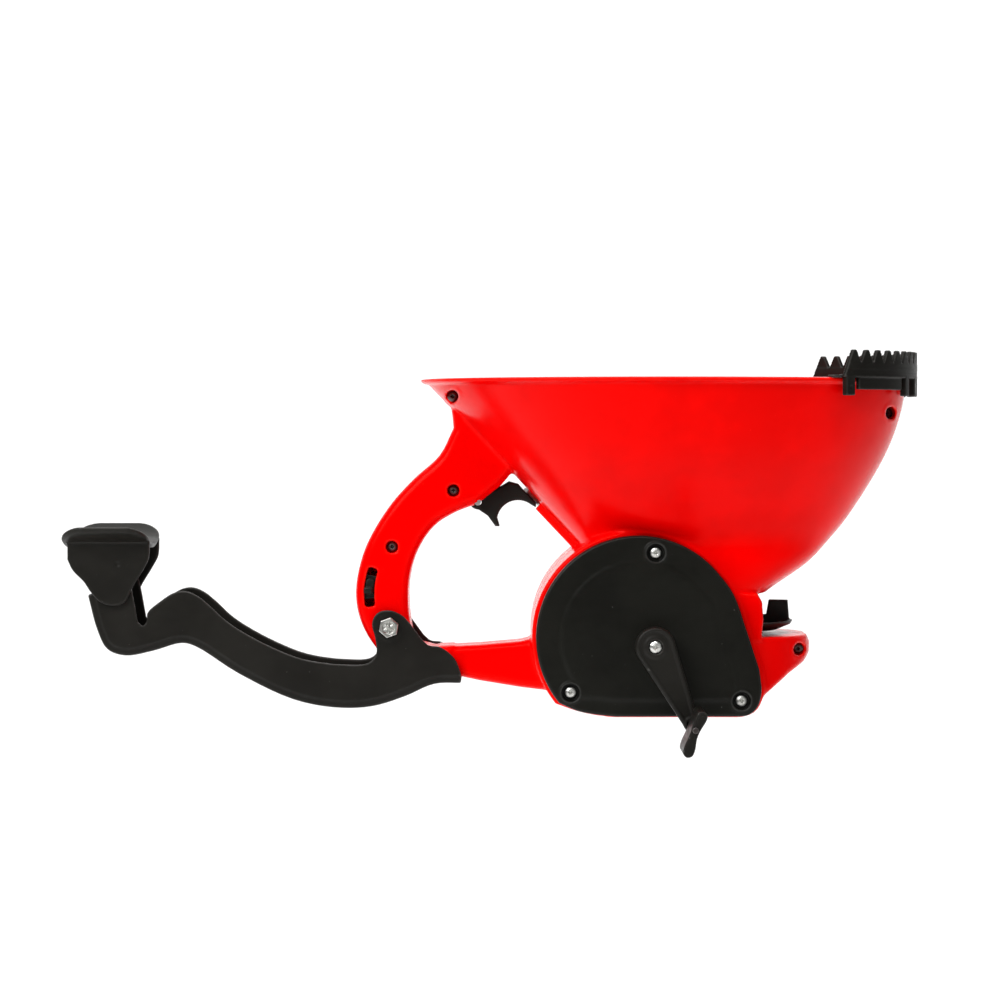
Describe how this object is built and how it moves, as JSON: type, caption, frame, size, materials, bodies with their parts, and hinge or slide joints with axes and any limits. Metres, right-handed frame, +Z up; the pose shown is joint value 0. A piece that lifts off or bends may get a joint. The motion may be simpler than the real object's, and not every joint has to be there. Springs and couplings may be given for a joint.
{
  "type": "hand-crank broadcast spreader",
  "caption": "Hand-held crank spreader: oval hopper, geared throwing disc under it, D-handle with gate trigger, and a folding forearm support with a saddle.",
  "frame": {"origin": "middle of the hand grip, on the plane where the two shell halves meet", "axes": "+X is the throwing direction, from the grip to the hopper's front; +Z is up; -Y is the side with the crank and the gear cover"},
  "size_m": [0.4245, 0.1737, 0.1924],
  "materials": {
    "red_shell": "glossy moulded red plastic",
    "black_plastic": "satin warm black plastic",
    "gear_plastic": "smooth off-white gear plastic",
    "zinc_screws": "zinc-plated steel",
    "bright_steel": "drawn bright steel"
  },
  "bodies": {
    "housing": {"shell_right": "red_shell", "shell_left": "red_shell", "impeller_bush": "gear_plastic", "gear_cover": "black_plastic", "cover_screw_top": "zinc_screws", "cover_screw_rear": "zinc_screws", "cover_screw_front": "zinc_screws", "shell_screw_rim_rear": "zinc_screws", "shell_screw_rim_front": "zinc_screws", "shell_screw_nose": "zinc_screws", "shell_screw_handle_top": "zinc_screws", "shell_screw_handle_middle": "zinc_screws", "trigger_pin": "bright_steel", "support_bolt": "zinc_screws", "bolt_washer": "zinc_screws", "support_nut": "zinc_screws", "return_spring": "bright_steel", "lump_comb": "black_plastic"},
    "crank": {"crank_arm": "black_plastic", "crank_shaft": "bright_steel", "crank_screw": "zinc_screws", "drive_gear": "gear_plastic", "knob_pin": "bright_steel"},
    "knob": {"crank_knob": "black_plastic"},
    "counter": {"pinion_gear": "gear_plastic", "counter_shaft": "bright_steel", "side_bevel_gear": "gear_plastic"},
    "impeller": {"impeller": "black_plastic", "impeller_shaft": "bright_steel", "top_bevel_gear": "gear_plastic"},
    "trigger": {"trigger": "black_plastic"},
    "gate_rod": {"gate_rod": "bright_steel"},
    "gate": {"gate": "black_plastic"},
    "rate_stop": {"rate_stop": "black_plastic"},
    "arm_support": {"arm_support": "black_plastic"},
    "forearm_rest": {"forearm_rest": "black_plastic"}
  },
  "joints": [
    {"name": "crank_turn", "type": "hinge", "parent": "housing", "child": "crank", "pos_m": [0.132, 0, -0.039], "axis": [0, 1, 0], "continuous": true},
    {"name": "knob_spin", "type": "hinge", "parent": "crank", "child": "knob", "pos_m": [0.14939, 0, -0.07613], "axis": [0, 1, 0], "continuous": true},
    {"name": "counter_turn", "type": "hinge", "parent": "housing", "child": "counter", "pos_m": [0.17, 0, -0.05149], "axis": [0, 1, 0], "continuous": true},
    {"name": "impeller_spin", "type": "hinge", "parent": "housing", "child": "impeller", "pos_m": [0.17, 0, -0.03], "axis": [0, 0, 1], "continuous": true},
    {"name": "trigger_pull", "type": "hinge", "parent": "housing", "child": "trigger", "pos_m": [0.0465, 0, 0.029], "axis": [0, -1, 0], "range_deg": [0, 21], "stiffness_Nm_per_rad": 0.6, "springref_deg": -8.59},
    {"name": "rod_slide", "type": "slide", "parent": "housing", "child": "gate_rod", "axis": [-0.6876, 0, 0.7261], "range_m": [0, 0.0092]},
    {"name": "gate_slide", "type": "slide", "parent": "housing", "child": "gate", "axis": [-1, 0, 0], "range_m": [0, 0.0065], "deforming": ["return_spring"]},
    {"name": "rate_stop_slide", "type": "hinge", "parent": "housing", "child": "rate_stop", "pos_m": [0.0299, 0, -0.0161], "axis": [0, -1, 0], "range_deg": [-8.5, 8.5]},
    {"name": "arm_fold", "type": "hinge", "parent": "housing", "child": "arm_support", "pos_m": [0.0026, 0, -0.0325], "axis": [0, 1, 0], "range_deg": [0, 55]},
    {"name": "rest_tilt", "type": "hinge", "parent": "arm_support", "child": "forearm_rest", "pos_m": [-0.1347, 0, -0.0073], "axis": [0, 1, 0], "range_deg": [-12, 12]}
  ],
  "couplings": [
    {"joint": "counter_turn", "follows": "crank_turn", "ratio": -3.5714},
    {"joint": "impeller_spin", "follows": "crank_turn", "ratio": -4.7619},
    {"joint": "rod_slide", "follows": "trigger_pull", "m_per_rad": 0.02444},
    {"joint": "gate_slide", "follows": "trigger_pull", "m_per_rad": 0.0168}
  ]
}
